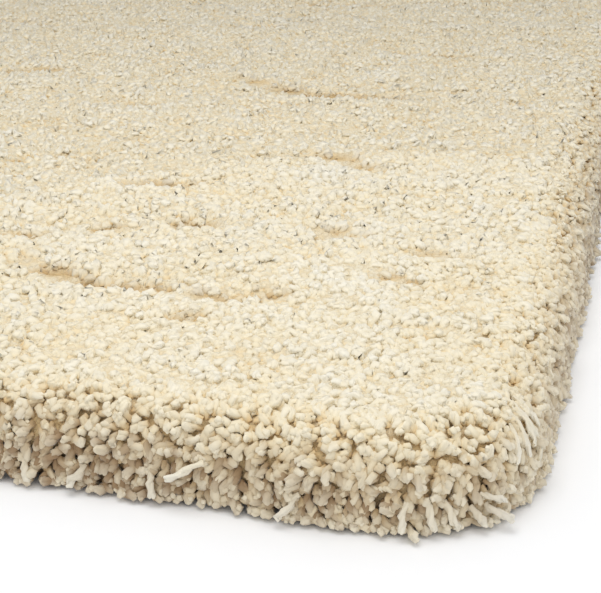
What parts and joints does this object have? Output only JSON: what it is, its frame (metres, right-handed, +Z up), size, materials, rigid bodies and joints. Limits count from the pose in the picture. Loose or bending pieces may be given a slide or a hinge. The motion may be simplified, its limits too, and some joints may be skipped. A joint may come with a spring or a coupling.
{
  "type": "shag rug",
  "caption": "Rectangular ivory shag rug with dense curly cut pile that rolls over its edge down to the floor, rounded corners and soft partings in the pile.",
  "frame": {"origin": "middle of the underside, on the floor", "axes": "+Z up out of the pile; +Y along the rug's long side; +X along its short side"},
  "size_m": [0.5995, 0.8995, 0.0337],
  "materials": {
    "pile": "soft curly cut-pile yarn, ivory, warmer and darker towards the roots"
  },
  "bodies": {
    "root": {"rug": "pile"}
  },
  "joints": []
}
